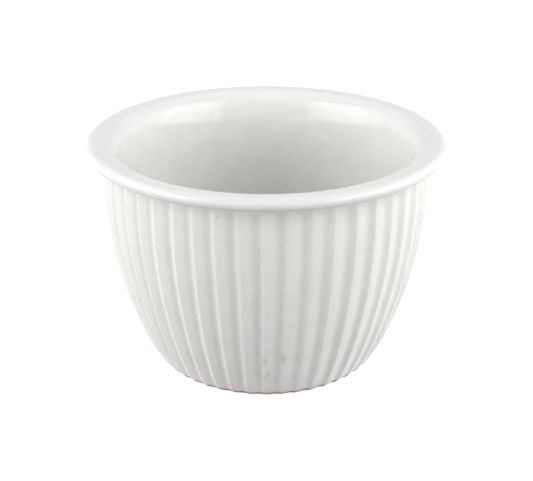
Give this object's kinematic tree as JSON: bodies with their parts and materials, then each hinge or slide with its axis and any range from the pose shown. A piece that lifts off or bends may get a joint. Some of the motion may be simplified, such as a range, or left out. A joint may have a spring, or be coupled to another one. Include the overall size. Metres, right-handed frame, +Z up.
{
  "type": "custard cup",
  "caption": "Round white glazed porcelain custard cup with ribbed walls that curve in to a narrow bare foot and a smooth rolled rim, for baking and serving a single portion.",
  "frame": {"origin": "on the cup's axis, at the level of the flat ring that the foot stands on", "axes": "+Z up along the cup's axis, out of its mouth; -Y is the side towards the camera in the picture"},
  "size_m": [0.092, 0.092, 0.0605],
  "materials": {
    "bare_porcelain": "matt unglazed",
    "white_glaze": "glossy"
  },
  "bodies": {
    "root": {"porcelain_body": "bare_porcelain", "glaze_coat": "white_glaze", "base_glaze": "white_glaze"}
  },
  "joints": []
}
